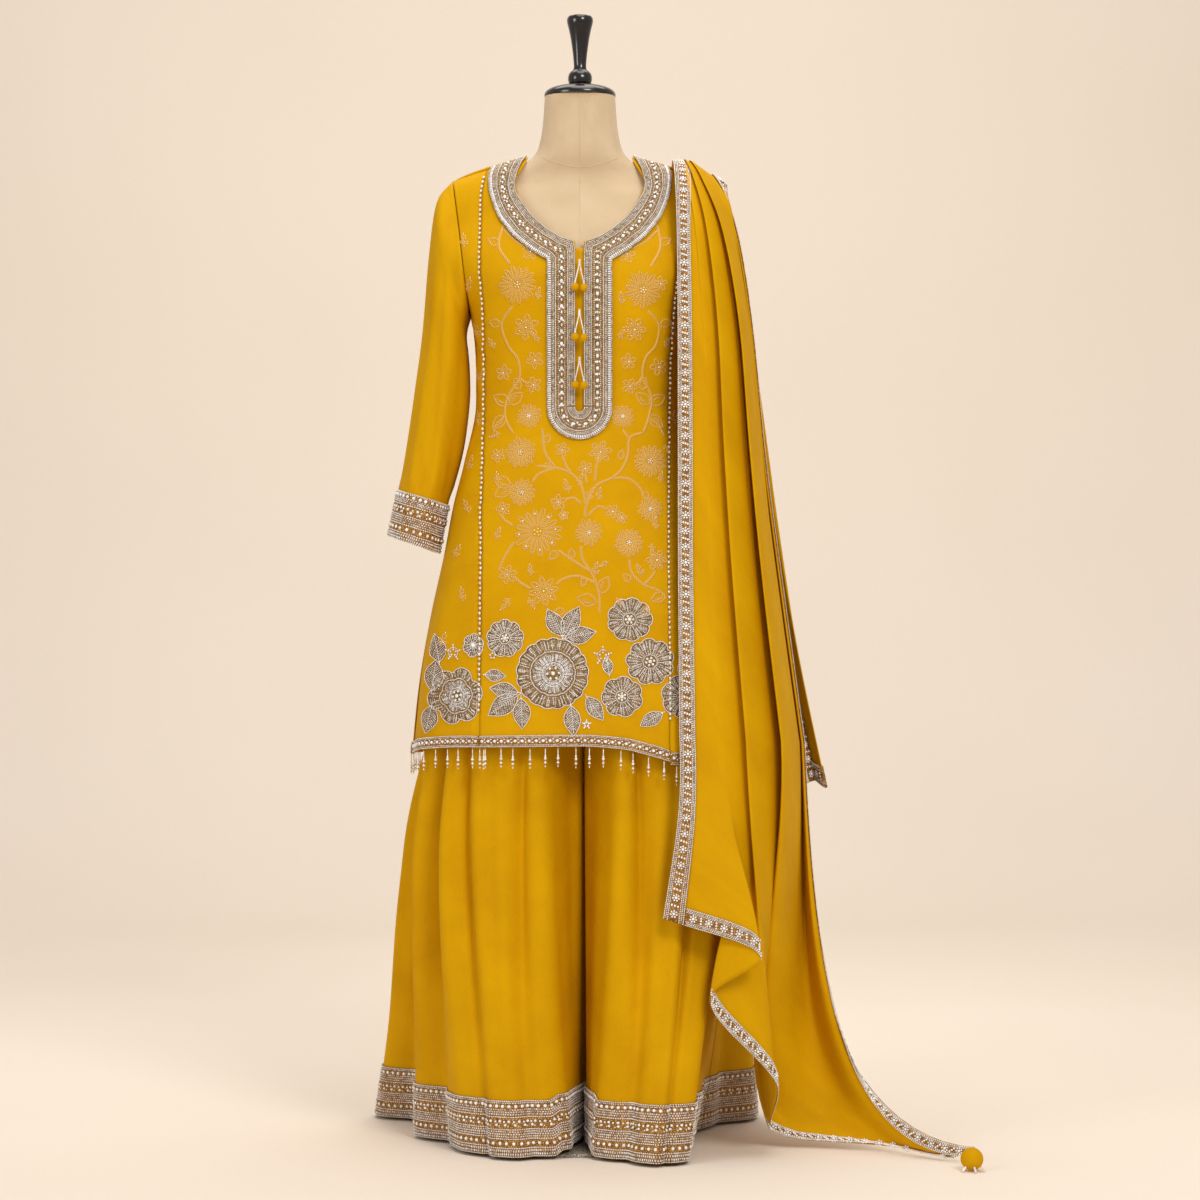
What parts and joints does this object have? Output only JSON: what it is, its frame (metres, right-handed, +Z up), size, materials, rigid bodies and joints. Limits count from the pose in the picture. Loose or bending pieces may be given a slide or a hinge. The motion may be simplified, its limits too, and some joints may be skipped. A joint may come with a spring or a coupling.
{
  "type": "salwar kameez suit on a dress form",
  "caption": "Mustard kameez suit with princess seams, wide sharara trousers and a bordered dupatta, worn by a limbless dress form on a plate stand.",
  "frame": {"origin": "middle of the underside of the stand's plate, on the floor, under the form's axis", "axes": "+Z up; the garment faces -Y; the wearer's left is +X, where the dupatta hangs"},
  "size_m": [0.8502, 0.5039, 1.598],
  "materials": {
    "mustard_crepe": "matt woven crepe georgette with thread embroidery",
    "beadwork": "dense silver and champagne beads and stones on cloth tape",
    "pearl_beads": "glossy imitation pearls and glass bugles",
    "tassel_cloth": "cloth covered balls on bead strings",
    "jersey": "fine beige knit stretched over the form",
    "lacquer": "black brown gloss lacquer on turned wood",
    "stand_steel": "dark satin powder coat"
  },
  "bodies": {
    "root": {"bead_fringe_back": "pearl_beads", "bead_fringe_centre": "pearl_beads", "bead_fringe_left": "pearl_beads", "bead_fringe_right": "pearl_beads", "corner_tassel": "tassel_cloth", "cuff_band_left": "beadwork", "cuff_band_right": "beadwork", "dupatta": "mustard_crepe", "dupatta_border_back_end": "beadwork", "dupatta_border_front_end": "beadwork", "dupatta_border_inner": "beadwork", "dupatta_border_outer": "beadwork", "form_finial": "lacquer", "form_neck_cap": "lacquer", "form_torso": "jersey", "kameez_back": "mustard_crepe", "kameez_centre_front": "mustard_crepe", "kameez_hem_band_back": "beadwork", "kameez_hem_band_centre": "beadwork", "kameez_hem_band_left": "beadwork", "kameez_hem_band_right": "beadwork", "kameez_side_front_left": "mustard_crepe", "kameez_side_front_right": "mustard_crepe", "kameez_slit_underlap": "mustard_crepe", "neck_band": "beadwork", "neck_band_back": "beadwork", "pearl_piping_left": "pearl_beads", "pearl_piping_right": "pearl_beads", "sleeve_left": "mustard_crepe", "sleeve_right": "mustard_crepe", "slit_tassel_1": "tassel_cloth", "slit_tassel_2": "tassel_cloth", "slit_tassel_3": "tassel_cloth", "stand_base": "stand_steel", "stand_pole": "stand_steel", "trouser_band_left_back": "beadwork", "trouser_band_left_front": "beadwork", "trouser_band_right_back": "beadwork", "trouser_band_right_front": "beadwork", "trouser_left_back": "mustard_crepe", "trouser_left_front": "mustard_crepe", "trouser_right_back": "mustard_crepe", "trouser_right_front": "mustard_crepe", "trouser_waistband": "mustard_crepe"}
  },
  "joints": []
}
